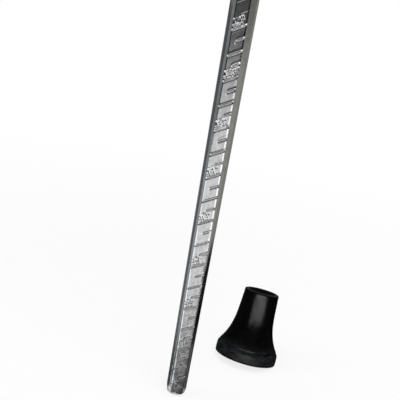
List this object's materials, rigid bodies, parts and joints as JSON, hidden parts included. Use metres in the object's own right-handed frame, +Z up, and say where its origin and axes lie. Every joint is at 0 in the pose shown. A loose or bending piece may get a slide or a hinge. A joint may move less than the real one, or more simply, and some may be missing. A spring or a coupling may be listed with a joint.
{
  "type": "underarm crutch",
  "caption": "Underarm crutch with two bent uprights, padded underarm rest, bolted handgrip and a clamped, graduated octagonal steel leg; its rubber tip stands taken off beside it.",
  "frame": {"origin": "centre of the leg bar's foot end face, on the floor the taken-off tip stands on", "axes": "+Z up along the leg, X from upright to upright, -Y towards the front that the leg's scale faces"},
  "size_m": [0.214, 0.1115, 1.2605],
  "materials": {
    "polished_steel": "polished, worn and scratched",
    "satin_tube": "satin",
    "cast_metal": "tumbled casting",
    "zinc_steel": "bright zinc",
    "black_steel": "black oxide",
    "black_plastic": "moulded, fine grain",
    "knob_plastic": "semi-gloss",
    "tip_rubber": "semi-gloss, worn sole",
    "grip_rubber": "matte, ribbed",
    "pad_rubber": "matte cushion with moulded seams"
  },
  "bodies": {
    "frame": {"guide_bush": "black_plastic", "socket_tube": "satin_tube", "socket_cap": "black_plastic", "clamp_collar": "cast_metal", "clamp_washer": "zinc_steel", "clamp_nut": "zinc_steel", "lower_yoke": "cast_metal", "upper_yoke": "cast_metal", "yoke_rivets": "zinc_steel", "socket_set_screws": "black_steel", "upright_left": "satin_tube", "upright_right": "satin_tube", "upright_plugs": "black_plastic", "grip_core": "satin_tube", "grip_sleeve": "grip_rubber", "grip_saddles": "black_plastic", "grip_washers": "zinc_steel", "grip_bolt": "zinc_steel", "underarm_rest": "cast_metal", "underarm_pad": "pad_rubber", "pad_screws": "zinc_steel", "rest_rivets": "zinc_steel"},
    "leg": {"leg_bar": "polished_steel", "leg_slider": "black_plastic", "leg_slider_screw": "zinc_steel"},
    "tip": {"rubber_tip": "tip_rubber", "tip_washer": "zinc_steel"},
    "clamp_screw": {"clamp_knob": "knob_plastic", "clamp_stud": "zinc_steel"},
    "wing_nut": {"grip_wing_nut": "zinc_steel"}
  },
  "joints": [
    {"name": "leg_slide", "type": "slide", "parent": "frame", "child": "leg", "axis": [0, 0, 1], "range_m": [0, 0.1]},
    {"name": "clamp_turn", "type": "hinge", "parent": "frame", "child": "clamp_screw", "pos_m": [0.029, 0, 0.3554], "axis": [0, -1, 0], "range_deg": [0, 360]},
    {"name": "wing_nut_turn", "type": "hinge", "parent": "frame", "child": "wing_nut", "pos_m": [0.08, 0, 0.8416], "axis": [1, 0, 0], "continuous": true},
    {"name": "tip_lift", "type": "slide", "parent": "frame", "child": "tip", "axis": [0, 0, 1], "range_m": [0, 0.08]}
  ]
}
